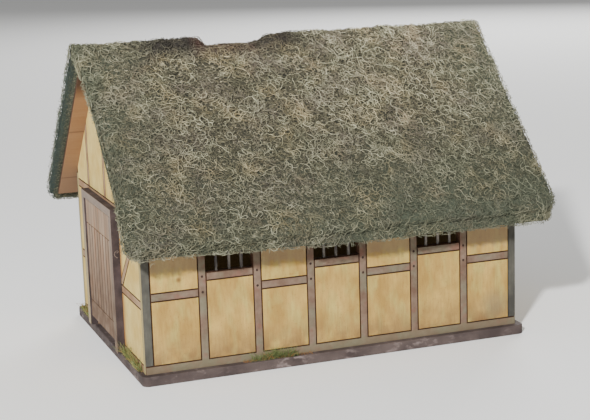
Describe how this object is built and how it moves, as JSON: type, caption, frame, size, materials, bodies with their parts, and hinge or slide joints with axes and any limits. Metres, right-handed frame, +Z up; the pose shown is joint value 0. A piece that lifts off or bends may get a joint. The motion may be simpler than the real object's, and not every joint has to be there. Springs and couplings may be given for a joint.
{
  "type": "tabletop model of a thatched half timbered house",
  "caption": "Small model house of engraved sheet fibreboard: timber framed walls with barred windows, a planked door in one end, a pitched roof with fibre thatch, on a base plate.",
  "frame": {"origin": "middle of the footprint, on the underside of the base plate, the surface that the model stands on", "axes": "+X along the long walls, away from the doorway end; -Y is the front with the flock tufts; +Z up"},
  "size_m": [0.1712, 0.1334, 0.1197],
  "materials": {
    "base": "painted fibreboard, dark purple brown, matt",
    "sheet": "bare fibreboard sheet, laser darkened in the engraved lines",
    "timber": "engraved timbers painted grey brown, matt",
    "corner": "engraved corner timbers painted slate grey, matt",
    "plaster": "engraved panels painted pale ochre, matt, with brown washes",
    "frame": "painted fibreboard, grey brown with dark edges",
    "door": "engraved planks painted warm grey brown, drybrushed",
    "ply": "bare thin board, orange tan",
    "thatch": "matted curly fibre, olive grey with straw drybrushing"
  },
  "bodies": {
    "house": {"base_plate": "base", "corner_posts": "corner", "front_posts": "timber", "front_rails": "timber", "front_plaster": "plaster", "front_wall_lower": "sheet", "front_wall_piers": "sheet", "front_wall_upper": "sheet", "roof_board_front": "ply", "thatch_front": "thatch", "back_posts": "timber", "back_rails": "timber", "back_plaster": "plaster", "back_wall_lower": "sheet", "back_wall_piers": "sheet", "back_wall_upper": "sheet", "roof_board_back": "ply", "thatch_back": "thatch", "door_end_timbers": "timber", "door_end_plaster": "plaster", "plain_end_timbers": "timber", "plain_end_plaster": "plaster", "plain_end_wall": "sheet", "door_end_near": "sheet", "door_end_far": "sheet", "door_end_gable": "sheet", "door_jamb_near": "frame", "door_jamb_far": "frame", "door_lintel": "frame"},
    "door": {"door_leaf": "door", "door_planks": "door", "door_rails": "door"}
  },
  "joints": [
    {"name": "door_hinge", "type": "hinge", "parent": "house", "child": "door", "pos_m": [-0.0777, 0.0254, 0.0317], "axis": [0, 0, -1], "range_deg": [0, 110]}
  ]
}
